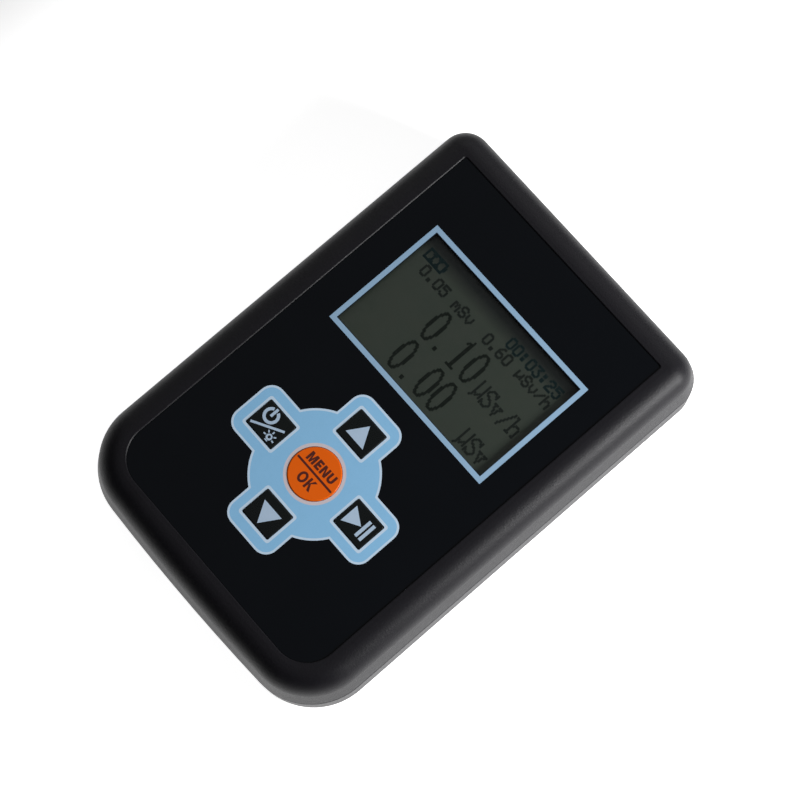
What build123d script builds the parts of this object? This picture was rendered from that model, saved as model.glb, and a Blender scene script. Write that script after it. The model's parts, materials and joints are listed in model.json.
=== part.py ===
from build123d import *

import os

# Handheld geiger counter, millimetres.  It lies on its back: the origin is the
# middle of the back face, +Z points out of the front panel, +Y points to the
# display end and +X to the right as the display is read.

# ---- driving dimensions -----------------------------------------------------

CASE_WIDTH = 82.0
DISPLAY_END_Y = 60.5
KEYPAD_END_Y = -60.5
KEYPAD_END_BOW = 1.5
DISPLAY_END_CORNER = 7.4
KEYPAD_END_CORNER = 15.9
WALL = 2.2

# Heights above the back face.
PARTING_Z = 12.2
PLATE_UNDER_Z = 20.6
RECESS_Z = 22.4
PANEL_Z = 22.7
RIM_Z = 23.0

PARTING_GAP = 0.4
LIP_THICKNESS = 1.0
LIP_TOP_Z = 13.9
FRONT_DRAFT = 11.3
BACK_DRAFT = 0.3
FRONT_EDGE_RADIUS = 5.8
INNER_EDGE_RADIUS = 3.6
BACK_EDGE_RADIUS = 3.0
FRONT_PARTING_ROUND = 0.2
BACK_PARTING_ROUND = 0.45
RIM_CHAMFER = 0.2
LIP_CLEARANCE = 0.3
LIP_ROOT_DEPTH = 1.5

# Printed label in its recess.
LABEL_Y = 0.2
LABEL_WIDTH = 65.3
LABEL_LENGTH = 104.4
LABEL_CORNER = 8.0
LABEL_TOP_CORNER = 0.5
LABEL_PLAY = 0.1

# Display stack.
DISPLAY_X = 0.55
DISPLAY_Y = 20.85
VIEW_WIDTH = 48.1
VIEW_HEIGHT = 29.5
WINDOW_MARGIN = 1.7
WINDOW_THICKNESS = 0.6
OPENING_MARGIN = 0.75
GASKET_THICKNESS = 0.3
BEZEL_WIDTH = 56.0
BEZEL_HEIGHT = 38.5
BEZEL_SHEET = 0.4
BEZEL_VIEW_MARGIN = 1.2
FRONT_GLASS_MARGIN = 0.5
GLASS_TO_WINDOW = 0.1
BACKLIGHT_THICKNESS = 2.3
GLASS_SIDE_ROOM = 0.5
CONNECTOR_LENGTH = 48.0
CONNECTOR_WIDTH = 1.4

# Keys.
KEYPAD_X = 0.3
KEYPAD_Y = -21.05
KEY_REACH_X = 14.9
KEY_REACH_Y = 13.6
KEY_WIDTH = 8.55
KEY_HEIGHT = 7.5
MENU_KEY_RADIUS = 6.12
KEY_TOP_Z = 22.9
KEY_PLAY_LABEL = 0.1
KEY_PLAY_SHELL = 0.35
KEY_FLANGE = 0.9
KEY_FLANGE_LOW_Z = 19.9
KEY_FLANGE_HIGH_Z = 20.5
KEY_EDGE_RADIUS = 0.25
KEY_CORNER = 0.5

# Main board and what holds it.
BOARD_LOW_Z = 14.0
BOARD_HIGH_Z = 15.6
BOARD_WIDTH = 73.0
BOARD_LENGTH = 111.0
BOARD_NOTCH = 4.4
BOARD_POSTS = [(-32.0, 46.0), (21.0, 46.0), (-32.0, -38.0), (21.0, -46.0)]
POST_RADIUS = 2.6
BOARD_SCREW_RADIUS = 0.9
BOARD_SCREW_HEAD_RADIUS = 1.8
BOARD_SCREW_HEAD_HEIGHT = 1.3
BOARD_SCREW_END_Z = 19.4

# Case screws, in bosses at the four corners.
CASE_SCREWS = [(-34.0, 53.0), (34.0, 53.0), (-31.0, -50.0), (31.0, -50.0)]
FRONT_BOSS_RADIUS = 3.2
BACK_BOSS_RADIUS = 3.8
CASE_SCREW_RADIUS = 1.2
CASE_SCREW_CLEARANCE = 1.5
CASE_SCREW_HEAD_RADIUS = 2.3
CASE_SCREW_HEAD_LOW_Z = 1.3
CASE_SCREW_SEAT_Z = 3.2
CASE_SCREW_END_Z = 18.5
BACK_BOSS_LOW_Z = 1.0
SCREW_TIP_ROOM = 0.45
COUNTERBORE_RADIUS = 2.6
THREAD_CLEARANCE = 0.02

# Key switches.
SWITCH_SIZE = 6.0
SWITCH_TOP_Z = 19.0
SWITCH_BORE_RADIUS = 1.7
SWITCH_BORE_LOW_Z = 16.9
PLUNGER_RADIUS = 1.6
PLUNGER_LOW_Z = 17.6

# Components under the board.
CHIP_X = 12.0
CHIP_Y = -12.0
CHIP_SIZE = 10.0
CHIP_HEIGHT = 1.5
CHIP_LEADS = 12
CHIP_LEAD_PITCH = 0.75
CHIP_LEAD_HEIGHT = 0.4
CRYSTAL_X = 12.0
CRYSTAL_Y = 4.0
CRYSTAL_LENGTH = 11.0
CRYSTAL_WIDTH = 4.6
CRYSTAL_HEIGHT = 3.5
CRYSTAL_BRIM = 0.4
TRANSFORMER_X = 4.0
TRANSFORMER_Y = 36.0
TRANSFORMER_HEIGHT = 9.0
CORE_WIDTH = 13.0
CORE_DEPTH = 10.0
BOBBIN_HEIGHT = 1.2
BOBBIN_BRIM = 1.0
FILM_CAPACITORS = 3
FILM_X = 18.0
FILM_Y = 29.0
FILM_PITCH = 5.0
FILM_WIDTH = 7.5
FILM_DEPTH = 3.6
FILM_HEIGHT = 7.5
CAN_X = 12.0
CAN_Y = 16.0
CAN_RADIUS = 3.15
CAN_HEIGHT = 8.0
CAN_GROOVE_Z = 12.4
CAN_GROOVE_RADIUS = 0.4

# Geiger tube, held by clips below the board.
TUBE_X = 30.0
TUBE_Z = 8.0
TUBE_RADIUS = 5.0
TUBE_LOW_Y = -40.0
TUBE_HIGH_Y = 44.0
TUBE_CAP_LENGTH = 3.5
TUBE_CAP_RADIUS = 3.2
CLIP_SHEET = 0.5
CLIP_WIDTH = 5.0
CLIP_INSET = 12.0
CLIP_FOOT_WIDTH = 8.0
CLIP_MOUTH = 5.2

# Two AAA cells and the bay that holds them.
CELL_RADIUS = 5.25
CELL_LENGTH = 44.5
CELL_NUB_RADIUS = 1.9
CELL_NUB_LENGTH = 0.8
CELL_Z = 7.25
BAY_X = -14.5
BAY_Y = -19.0
CELL_SPACING = 11.0
BAY_WIDTH = 23.0
BAY_LENGTH = 52.0
BAY_WALL = 1.2
BAY_CEILING_Z = 12.7
BAY_TOP_Z = 13.7
CONTACT_SHEET = 0.4
CONTACT_WIDTH = 8.0
CONTACT_LOW_Z = 4.4
CONTACT_HIGH_Z = 11.0
CONTACT_BUMP = 0.5
CONTACT_BUMP_RADIUS = 1.5
CONTACT_PLAY = 0.1
TAIL_WIDTH = 2.0
TAIL_ROOM = 0.4
SPRING_WIRE = 0.35
SPRING_TURNS = 4.0
SPRING_SMALL_RADIUS = 1.9
SPRING_LARGE_RADIUS = 3.2

# Battery door, hooked in at the display end and latched at the other.
DOOR_WIDTH = 26.0
DOOR_LENGTH = 54.0
DOOR_GAP = 0.3
DOOR_LATCH_GAP = 0.6
DOOR_LOW_Z = 0.2
DOOR_HIGH_Z = 1.8
DOOR_LEDGE_Z = 1.9
HOOK_LOW_Z = 2.4
HOOK_HIGH_Z = 3.4
HOOK_REACH = 2.0
HOOK_SLOT_TOP_Z = 4.2
HOOK_WIDTHS = {-24.9: 1.8, -14.5: 2.4, -4.1: 1.8}
HOOK_ROOM = 0.4
HOOK_SLOT_DEPTH = 4.0
LATCH_WIDTH = 9.0
LATCH_LENGTH = 8.0
LATCH_SLOT = 0.8
LATCH_NIB = 0.4
FINGER_NOTCH_RADIUS = 5.0
FINGER_NOTCH_DEPTH = 1.4
GRIP_LINES = 4
GRIP_PITCH = 2.0
GRIP_WIDTH = 0.7
GRIP_DEPTH = 0.4

# Buzzer and its sound slots.
BUZZER_X = -19.0
BUZZER_Y = 35.0
BUZZER_RADIUS = 6.0
BUZZER_LOW_Z = 8.5
BUZZER_HOLE_RADIUS = 1.1
BUZZER_HOLE_DEPTH = 1.5
SOUND_SLOTS = 5
SOUND_SLOT_PITCH = 2.4
SOUND_SLOT_WIDTH = 1.1
SOUND_SLOT_LENGTH = 9.0


# ---- shapes used more than once ---------------------------------------------

def block(x, y, z_low, z_high, size_x, size_y):
    """A box centred on x, y between two heights."""
    height = z_high - z_low
    return Pos(x, y, z_low) * Box(size_x, size_y, height, align=(Align.CENTER, Align.CENTER, Align.MIN))


def span(x_low, x_high, y_low, y_high, z_low, z_high):
    """A box between two corners."""
    x = (x_low + x_high) / 2
    y = (y_low + y_high) / 2
    return block(x, y, z_low, z_high, x_high - x_low, y_high - y_low)


def post(x, y, z_low, z_high, radius):
    """An upright cylinder between two heights."""
    height = z_high - z_low
    upright = Cylinder(radius, height, align=(Align.CENTER, Align.CENTER, Align.MIN))
    return Pos(x, y, z_low) * upright


def rod_y(x, z, y_low, y_high, radius):
    """A cylinder lying along Y."""
    length = y_high - y_low
    lying = Rot(-90, 0, 0) * Cylinder(radius, length, align=(Align.CENTER, Align.CENTER, Align.MIN))
    return Pos(x, y_low, z) * lying


def case_outline(inset=0.0):
    """The case from the front: small corners at the display end; a bowed keypad end, large corners."""
    side = CASE_WIDTH / 2 - inset
    high = DISPLAY_END_Y - inset
    apex = KEYPAD_END_Y + inset
    low = apex + KEYPAD_END_BOW
    edges = Polyline((side, low), (side, high), (-side, high), (-side, low)).edges()
    bow = ThreePointArc((-side, low), (0, apex), (side, low))
    outline = make_face([*edges, *bow.edges()])
    outline = fillet(outline.vertices().group_by(Axis.Y)[0], KEYPAD_END_CORNER - inset)
    return fillet(outline.vertices().group_by(Axis.Y)[-1], DISPLAY_END_CORNER - inset)


def case_slab(z_low, z_high, inset=0.0, draft=0.0):
    """The case outline raised from one height to another, narrowing by the draft angle."""
    return extrude(Pos(0, 0, z_low) * case_outline(inset), z_high - z_low, taper=draft)


def label_outline(play=0.0):
    """The printed label: square corners at the display end, round at the keypad end."""
    outline = Rectangle(LABEL_WIDTH + 2 * play, LABEL_LENGTH + 2 * play)
    outline = fillet(outline.vertices().group_by(Axis.Y)[0], LABEL_CORNER + play)
    return Pos(0, LABEL_Y) * fillet(outline.vertices().group_by(Axis.Y)[-1], LABEL_TOP_CORNER)


def key_places():
    """Each small key's name and centre."""
    return {
        "power_light": (KEYPAD_X - KEY_REACH_X, KEYPAD_Y),
        "play_pause": (KEYPAD_X + KEY_REACH_X, KEYPAD_Y),
        "up": (KEYPAD_X, KEYPAD_Y + KEY_REACH_Y),
        "down": (KEYPAD_X, KEYPAD_Y - KEY_REACH_Y),
    }


def all_key_places():
    """The small keys and the round menu key."""
    return {**key_places(), "menu_ok": (KEYPAD_X, KEYPAD_Y)}


def key_prism(name, z_low, z_high, margin=0.0):
    """A key's outline between two heights, grown by a margin."""
    x, y = all_key_places()[name]
    if name == "menu_ok":
        return post(x, y, z_low, z_high, MENU_KEY_RADIUS + margin)
    outline = RectangleRounded(KEY_WIDTH + 2 * margin, KEY_HEIGHT + 2 * margin, KEY_CORNER)
    return extrude(Pos(x, y, z_low) * outline, z_high - z_low)


def display_block(z_low, z_high, margin):
    """A block behind the view area, larger by a margin on every side."""
    return block(DISPLAY_X, DISPLAY_Y, z_low, z_high, VIEW_WIDTH + 2 * margin, VIEW_HEIGHT + 2 * margin)


def joined(solids):
    """One shape from pieces that touch or overlap."""
    return Part() + list(solids)


def group(solids):
    """Separate solids kept together in one node."""
    return Compound(children=[Solid(s.solid().wrapped) for s in solids])


def screw(radius, head_radius, head_height, length, slot_depth):
    """A cross-head screw, head down at z = 0 with its shank pointing up."""
    head = post(0, 0, 0, head_height, head_radius)
    head = fillet(head.edges().group_by(Axis.Z)[0], head_height * 0.35)
    shank = post(0, 0, head_height, head_height + length, radius)
    shank = chamfer(shank.edges().group_by(Axis.Z)[-1], radius * 0.4)
    arm = head_radius * 1.15
    cross = block(0, 0, 0, slot_depth, arm, arm * 0.24) + block(0, 0, 0, slot_depth, arm * 0.24, arm)
    return joined([head, shank]) - cross


# ---- case --------------------------------------------------------------------

def front_shell():
    """Upper shell: drafted sides, a broad rounded edge, a recess for the label and inner posts."""
    low = PARTING_Z + PARTING_GAP / 2
    outer = case_slab(low, RIM_Z, draft=FRONT_DRAFT)
    outer = fillet(outer.edges().group_by(Axis.Z)[-1], FRONT_EDGE_RADIUS)
    outer = fillet(outer.edges().group_by(Axis.Z)[0], FRONT_PARTING_ROUND)
    inner = case_slab(low, PLATE_UNDER_Z, inset=WALL, draft=FRONT_DRAFT)
    inner = fillet(inner.edges().group_by(Axis.Z)[-1], INNER_EDGE_RADIUS)
    shell = outer - inner
    shell -= case_slab(low, LIP_TOP_Z, inset=WALL - LIP_THICKNESS - LABEL_PLAY)
    shell -= extrude(Pos(0, 0, RECESS_Z) * label_outline(LABEL_PLAY), RIM_Z - RECESS_Z)
    rim_edge = Pos(0, 0, RIM_Z - RIM_CHAMFER) * label_outline(LABEL_PLAY)
    shell -= extrude(rim_edge, RIM_CHAMFER, taper=-45)
    shell -= display_block(RECESS_Z - WINDOW_THICKNESS, RECESS_Z, WINDOW_MARGIN + LABEL_PLAY)
    shell -= display_block(PLATE_UNDER_Z, RECESS_Z, OPENING_MARGIN)
    for name in all_key_places():
        shell -= key_prism(name, PLATE_UNDER_Z, RECESS_Z, KEY_PLAY_SHELL)
    for x, y in CASE_SCREWS:
        shell += post(x, y, low, PLATE_UNDER_Z, FRONT_BOSS_RADIUS)
        shell -= post(x, y, low, CASE_SCREW_END_Z + SCREW_TIP_ROOM, CASE_SCREW_RADIUS + THREAD_CLEARANCE)
    for x, y in BOARD_POSTS:
        shell += post(x, y, BOARD_HIGH_Z, PLATE_UNDER_Z, POST_RADIUS)
        hole_end = BOARD_SCREW_END_Z + SCREW_TIP_ROOM
        shell -= post(x, y, BOARD_HIGH_Z, hole_end, BOARD_SCREW_RADIUS + THREAD_CLEARANCE)
    return shell


def bay_end(side):
    """Y of the bay's inner end wall; side is +1 at the display end, -1 at the other."""
    return BAY_Y + side * BAY_LENGTH / 2


def back_shell():
    """Lower shell: floor, lip, screw bosses, battery bay and sound slots."""
    high = PARTING_Z - PARTING_GAP / 2
    outer = extrude(Pos(0, 0, high) * case_outline(), -high, taper=BACK_DRAFT)
    outer = fillet(outer.edges().group_by(Axis.Z)[0], BACK_EDGE_RADIUS)
    outer = fillet(outer.edges().group_by(Axis.Z)[-1], BACK_PARTING_ROUND)
    shell = outer - case_slab(WALL, high, inset=WALL + LIP_CLEARANCE)
    lip = case_slab(high - LIP_ROOT_DEPTH, LIP_TOP_Z, inset=WALL - LIP_THICKNESS)
    shell += lip - case_slab(0, LIP_TOP_Z, inset=WALL + LIP_CLEARANCE)
    for x, y in CASE_SCREWS:
        shell += post(x, y, BACK_BOSS_LOW_Z, PARTING_Z + PARTING_GAP / 2, BACK_BOSS_RADIUS)
    bay_width = BAY_WIDTH + 2 * BAY_WALL
    bay_length = BAY_LENGTH + 2 * BAY_WALL
    shell += block(BAY_X, BAY_Y, DOOR_LEDGE_Z, BAY_TOP_Z, bay_width, bay_length)
    for x, y in CASE_SCREWS:
        shell -= post(x, y, 0, PARTING_Z + PARTING_GAP, CASE_SCREW_CLEARANCE)
        shell -= post(x, y, 0, CASE_SCREW_SEAT_Z, COUNTERBORE_RADIUS)
    shell -= block(BAY_X, BAY_Y, DOOR_LEDGE_Z, BAY_CEILING_Z, BAY_WIDTH, BAY_LENGTH)
    shell -= block(BAY_X, BAY_Y, 0, DOOR_LEDGE_Z, DOOR_WIDTH, DOOR_LENGTH)
    for x, width in HOOK_WIDTHS.items():
        left = x - width / 2 - HOOK_ROOM
        right = x + width / 2 + HOOK_ROOM
        end = bay_end(1)
        shell -= span(left, right, end - 1, end + HOOK_SLOT_DEPTH, WALL, HOOK_SLOT_TOP_Z)
        shell -= span(left, right, end - 1, end + 1, DOOR_LEDGE_Z, WALL)
    for x in cell_columns():
        slot_y = bay_end(1) - CONTACT_SHEET
        shell -= block(x, slot_y, BAY_CEILING_Z, BAY_TOP_Z, TAIL_WIDTH + TAIL_ROOM, 3 * CONTACT_SHEET)
    for index in range(SOUND_SLOTS):
        x = BUZZER_X + (index - (SOUND_SLOTS - 1) / 2) * SOUND_SLOT_PITCH
        slot = extrude(Pos(x, BUZZER_Y, 0) * SlotOverall(SOUND_SLOT_LENGTH, SOUND_SLOT_WIDTH, 90), WALL)
        shell -= slot
    notch_y = BAY_Y - DOOR_LENGTH / 2
    shell -= Pos(BAY_X, notch_y, FINGER_NOTCH_DEPTH - FINGER_NOTCH_RADIUS) * Sphere(FINGER_NOTCH_RADIUS)
    return shell


def front_label():
    """Printed plastic sheet with the view opening and the key openings."""
    sheet = extrude(Pos(0, 0, RECESS_Z) * label_outline(), PANEL_Z - RECESS_Z)
    sheet -= display_block(RECESS_Z, PANEL_Z, 0)
    for name in all_key_places():
        sheet -= key_prism(name, RECESS_Z, PANEL_Z, KEY_PLAY_LABEL)
    return sheet


# ---- display ------------------------------------------------------------------

BEZEL_TOP_Z = PLATE_UNDER_Z - GASKET_THICKNESS
GLASS_HIGH_Z = BEZEL_TOP_Z - BEZEL_SHEET
GLASS_LOW_Z = BOARD_HIGH_Z + BACKLIGHT_THICKNESS
GLASS_WIDTH = BEZEL_WIDTH - 2 * (BEZEL_SHEET + GLASS_SIDE_ROOM)
GLASS_HEIGHT = BEZEL_HEIGHT - 2 * (BEZEL_SHEET + GLASS_SIDE_ROOM)


def display_window():
    """Clear pane seated in its pocket below the label."""
    return display_block(RECESS_Z - WINDOW_THICKNESS, RECESS_Z, WINDOW_MARGIN)


def display_gasket():
    """Foam frame between the display's bezel and the front shell."""
    ring = block(DISPLAY_X, DISPLAY_Y, BEZEL_TOP_Z, PLATE_UNDER_Z, BEZEL_WIDTH - 2, BEZEL_HEIGHT - 2)
    return ring - display_block(BEZEL_TOP_Z, PLATE_UNDER_Z, BEZEL_VIEW_MARGIN + 0.1)


def display_bezel():
    """Folded sheet frame that clamps the display glass to the board."""
    tray = block(DISPLAY_X, DISPLAY_Y, BOARD_HIGH_Z, BEZEL_TOP_Z, BEZEL_WIDTH, BEZEL_HEIGHT)
    tray = fillet(tray.edges().filter_by(Axis.Z), 0.8)
    hollow_width = BEZEL_WIDTH - 2 * BEZEL_SHEET
    hollow_height = BEZEL_HEIGHT - 2 * BEZEL_SHEET
    tray -= block(DISPLAY_X, DISPLAY_Y, BOARD_HIGH_Z, GLASS_HIGH_Z, hollow_width, hollow_height)
    return tray - display_block(GLASS_HIGH_Z, BEZEL_TOP_Z, BEZEL_VIEW_MARGIN)


def display_glass():
    """Liquid-crystal cell whose front glass stands through the bezel, close below the window."""
    cell = block(DISPLAY_X, DISPLAY_Y, GLASS_LOW_Z, GLASS_HIGH_Z, GLASS_WIDTH, GLASS_HEIGHT)
    front_z = RECESS_Z - WINDOW_THICKNESS - GLASS_TO_WINDOW
    return cell + display_block(GLASS_HIGH_Z, front_z, FRONT_GLASS_MARGIN)


def display_backlight():
    """Light guide between the glass and the board."""
    height = GLASS_HEIGHT - 2 * CONNECTOR_WIDTH
    y = DISPLAY_Y + CONNECTOR_WIDTH
    return block(DISPLAY_X, y, BOARD_HIGH_Z, GLASS_LOW_Z, GLASS_WIDTH, height)


def display_connector():
    """Rubber contact strip along the glass's lower edge, glass to board."""
    y = DISPLAY_Y - GLASS_HEIGHT / 2 + 0.8
    return block(DISPLAY_X, y, BOARD_HIGH_Z, GLASS_LOW_Z, CONNECTOR_LENGTH, CONNECTOR_WIDTH)


# ---- keys ----------------------------------------------------------------------

def key_cap(name):
    """A key: a rounded top through the label, and a flange that stops below the plate."""
    cap = key_prism(name, KEY_FLANGE_HIGH_Z, KEY_TOP_Z)
    cap = fillet(cap.edges().group_by(Axis.Z)[-1], KEY_EDGE_RADIUS)
    flange = key_prism(name, KEY_FLANGE_LOW_Z, KEY_FLANGE_HIGH_Z, KEY_FLANGE)
    return cap + flange


def switch_plunger(name):
    """The button of a key's switch, below the key."""
    x, y = all_key_places()[name]
    plunger = post(x, y, PLUNGER_LOW_Z, KEY_FLANGE_LOW_Z, PLUNGER_RADIUS)
    return chamfer(plunger.edges().group_by(Axis.Z)[-1], 0.2)


def switch_housings():
    """Five square switch housings on the board, each with a bore for its plunger."""
    housings = []
    for x, y in all_key_places().values():
        housing = block(x, y, BOARD_HIGH_Z, SWITCH_TOP_Z, SWITCH_SIZE, SWITCH_SIZE)
        housing = fillet(housing.edges().filter_by(Axis.Z), 0.6)
        housings.append(housing - post(x, y, SWITCH_BORE_LOW_Z, SWITCH_TOP_Z, SWITCH_BORE_RADIUS))
    return group(housings)


# ---- board ----------------------------------------------------------------------

def main_board():
    """Circuit board with notched corners for the case bosses and holes for its screws."""
    board = block(0, 0, BOARD_LOW_Z, BOARD_HIGH_Z, BOARD_WIDTH, BOARD_LENGTH)
    for x, y in CASE_SCREWS:
        side_x = 1 if x > 0 else -1
        side_y = 1 if y > 0 else -1
        near_x = x - side_x * BOARD_NOTCH
        near_y = y - side_y * BOARD_NOTCH
        far_x = side_x * BOARD_WIDTH
        far_y = side_y * BOARD_LENGTH
        xs = sorted([near_x, far_x])
        ys = sorted([near_y, far_y])
        board -= span(xs[0], xs[1], ys[0], ys[1], BOARD_LOW_Z, BOARD_HIGH_Z)
    for x, y in BOARD_POSTS:
        board -= post(x, y, BOARD_LOW_Z, BOARD_HIGH_Z, BOARD_SCREW_RADIUS + 0.2)
    return board


def board_screws():
    """Four small screws that hold the board to the front shell's posts."""
    low = BOARD_LOW_Z - BOARD_SCREW_HEAD_HEIGHT
    length = BOARD_SCREW_END_Z - BOARD_LOW_Z
    pattern = screw(BOARD_SCREW_RADIUS, BOARD_SCREW_HEAD_RADIUS, BOARD_SCREW_HEAD_HEIGHT, length, 0.7)
    return group([Pos(x, y, low) * pattern for x, y in BOARD_POSTS])


def case_screws():
    """Four screws from the back shell into the front shell's bosses."""
    head = CASE_SCREW_SEAT_Z - CASE_SCREW_HEAD_LOW_Z
    length = CASE_SCREW_END_Z - CASE_SCREW_SEAT_Z
    pattern = screw(CASE_SCREW_RADIUS, CASE_SCREW_HEAD_RADIUS, head, length, 1.0)
    return group([Pos(x, y, CASE_SCREW_HEAD_LOW_Z) * pattern for x, y in CASE_SCREWS])


def microcontroller():
    """Square chip package under the board with leads on all four sides."""
    chip = block(CHIP_X, CHIP_Y, BOARD_LOW_Z - CHIP_HEIGHT, BOARD_LOW_Z - 0.1, CHIP_SIZE, CHIP_SIZE)
    chip = chamfer(chip.edges().group_by(Axis.Z)[0], 0.25)
    for turn in range(4):
        for index in range(CHIP_LEADS):
            along = (index - (CHIP_LEADS - 1) / 2) * CHIP_LEAD_PITCH
            lead = block(CHIP_SIZE / 2 + 0.5, along, BOARD_LOW_Z - CHIP_LEAD_HEIGHT, BOARD_LOW_Z, 1.2, 0.35)
            chip += Pos(CHIP_X, CHIP_Y, 0) * Rot(0, 0, 90 * turn) * lead
    return chip


def quartz_crystal():
    """Oval metal can of the clock crystal, with a brim against the board."""
    low = BOARD_LOW_Z - CRYSTAL_HEIGHT
    brim_low = BOARD_LOW_Z - CRYSTAL_BRIM
    can = Pos(CRYSTAL_X, CRYSTAL_Y, low) * SlotOverall(CRYSTAL_LENGTH, CRYSTAL_WIDTH)
    can = extrude(can, brim_low - low)
    can = fillet(can.edges().group_by(Axis.Z)[0], 0.5)
    grown = 2 * CRYSTAL_BRIM
    brim = Pos(CRYSTAL_X, CRYSTAL_Y, brim_low) * SlotOverall(CRYSTAL_LENGTH + grown, CRYSTAL_WIDTH + grown)
    return can + extrude(brim, CRYSTAL_BRIM)


def high_voltage_transformer():
    """Ferrite core with its winding bobbin."""
    brim_z = BOARD_LOW_Z - BOBBIN_HEIGHT
    low = BOARD_LOW_Z - TRANSFORMER_HEIGHT
    core = block(TRANSFORMER_X, TRANSFORMER_Y, low, brim_z, CORE_WIDTH, CORE_DEPTH)
    core = fillet(core.edges().filter_by(Axis.Z), 0.8)
    width = CORE_WIDTH + 2 * BOBBIN_BRIM
    depth = CORE_DEPTH + BOBBIN_BRIM
    return core + block(TRANSFORMER_X, TRANSFORMER_Y, brim_z, BOARD_LOW_Z, width, depth)


def high_voltage_capacitors():
    """Three film capacitors in a row beside the transformer."""
    row = []
    for index in range(FILM_CAPACITORS):
        y = FILM_Y + index * FILM_PITCH
        body = block(FILM_X, y, BOARD_LOW_Z - FILM_HEIGHT, BOARD_LOW_Z, FILM_WIDTH, FILM_DEPTH)
        row.append(fillet(body.edges().group_by(Axis.Z)[0], 0.6))
    return group(row)


def filter_capacitor():
    """Upright electrolytic can with a rolled groove."""
    can = post(CAN_X, CAN_Y, BOARD_LOW_Z - CAN_HEIGHT, BOARD_LOW_Z, CAN_RADIUS)
    can = fillet(can.edges().group_by(Axis.Z)[0], 0.5)
    return can - Pos(CAN_X, CAN_Y, CAN_GROOVE_Z) * Torus(CAN_RADIUS + 0.2, CAN_GROOVE_RADIUS)


def buzzer():
    """Round sounder with a sound hole that faces the slots in the back."""
    can = post(BUZZER_X, BUZZER_Y, BUZZER_LOW_Z, BOARD_LOW_Z, BUZZER_RADIUS)
    can = fillet(can.edges().group_by(Axis.Z)[0], 0.5)
    hole_top = BUZZER_LOW_Z + BUZZER_HOLE_DEPTH
    return can - post(BUZZER_X, BUZZER_Y, BUZZER_LOW_Z, hole_top, BUZZER_HOLE_RADIUS)


# ---- geiger tube -------------------------------------------------------------------

def geiger_tube():
    """Metal-walled counting tube with stepped ends."""
    tube = rod_y(TUBE_X, TUBE_Z, TUBE_LOW_Y, TUBE_HIGH_Y, TUBE_RADIUS)
    ends = tube.edges().filter_by(GeomType.CIRCLE)
    return fillet(ends, 0.9)


def tube_end_caps():
    """Contact cap on each end of the tube."""
    caps = []
    for y_low in (TUBE_LOW_Y - TUBE_CAP_LENGTH, TUBE_HIGH_Y):
        cap = rod_y(TUBE_X, TUBE_Z, y_low, y_low + TUBE_CAP_LENGTH, TUBE_CAP_RADIUS)
        caps.append(fillet(cap.edges().filter_by(GeomType.CIRCLE), 0.4))
    return group(caps)


def tube_clips():
    """Two sprung sheet clips that hang from the board and hold the tube."""
    clips = []
    outer_radius = TUBE_RADIUS + CLIP_SHEET
    for y in (TUBE_LOW_Y + CLIP_INSET, TUBE_HIGH_Y - CLIP_INSET):
        low = y - CLIP_WIDTH / 2
        high = y + CLIP_WIDTH / 2
        ring = rod_y(TUBE_X, TUBE_Z, low, high, outer_radius)
        foot_low = TUBE_Z + TUBE_RADIUS + CLIP_SHEET / 2
        foot = block(TUBE_X, y, foot_low, BOARD_LOW_Z, CLIP_FOOT_WIDTH, CLIP_WIDTH)
        clip = ring + foot - rod_y(TUBE_X, TUBE_Z, low - 1, high + 1, TUBE_RADIUS)
        clip -= block(TUBE_X, y, 0, TUBE_Z, CLIP_MOUTH, CLIP_WIDTH + 2)
        clips.append(clip)
    return group(clips)


# ---- batteries -------------------------------------------------------------------------

def cell_columns():
    """X of the left and the right cell."""
    return (BAY_X - CELL_SPACING / 2, BAY_X + CELL_SPACING / 2)


def contact_face(side):
    """Y of a contact sheet's inner face at one end of the bay."""
    return bay_end(side) - side * (CONTACT_SHEET + CONTACT_PLAY)


def cell(x, side):
    """One AAA cell with its raised terminal towards one end of the bay."""
    tip = contact_face(side) - side * CONTACT_BUMP
    shoulder = tip - side * CELL_NUB_LENGTH
    base = tip - side * CELL_LENGTH
    body = rod_y(x, CELL_Z, min(base, shoulder), max(base, shoulder), CELL_RADIUS)
    body = fillet(body.edges().filter_by(GeomType.CIRCLE), 0.6)
    return body + rod_y(x, CELL_Z, min(tip, shoulder - side), max(tip, shoulder - side), CELL_NUB_RADIUS)


def contact_plate(x_low, x_high, side):
    """Flat sheet against one end wall of the bay."""
    face = contact_face(side)
    ys = sorted([face, face + side * CONTACT_SHEET])
    return span(x_low, x_high, ys[0], ys[1], CONTACT_LOW_Z, CONTACT_HIGH_Z)


def contact_bump(x, side):
    """Pressed bump that meets a cell's raised terminal."""
    face = contact_face(side)
    ys = sorted([face, face - side * CONTACT_BUMP])
    return rod_y(x, CELL_Z, ys[0], ys[1], CONTACT_BUMP_RADIUS)


def battery_terminals():
    """Two contacts at the display end, each with a tail that reaches the board."""
    pieces = []
    face = contact_face(1)
    for x in cell_columns():
        plate = contact_plate(x - CONTACT_WIDTH / 2, x + CONTACT_WIDTH / 2, 1)
        half = TAIL_WIDTH / 2
        plate += span(x - half, x + half, face, face + CONTACT_SHEET, CONTACT_HIGH_Z, BOARD_LOW_Z)
        if x < BAY_X:
            plate += contact_bump(x, 1)
        pieces.append(plate)
    return group(pieces)


def battery_bridge():
    """One contact across both cells at the keypad end."""
    left, right = cell_columns()
    plate = contact_plate(left - CONTACT_WIDTH / 2, right + CONTACT_WIDTH / 2, -1)
    return plate + contact_bump(right, -1)


def degrees_of(rise, run):
    """Angle whose tangent is rise over run."""
    return Vector(run, 0, 0).get_angle(Vector(run, rise, 0))


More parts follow.
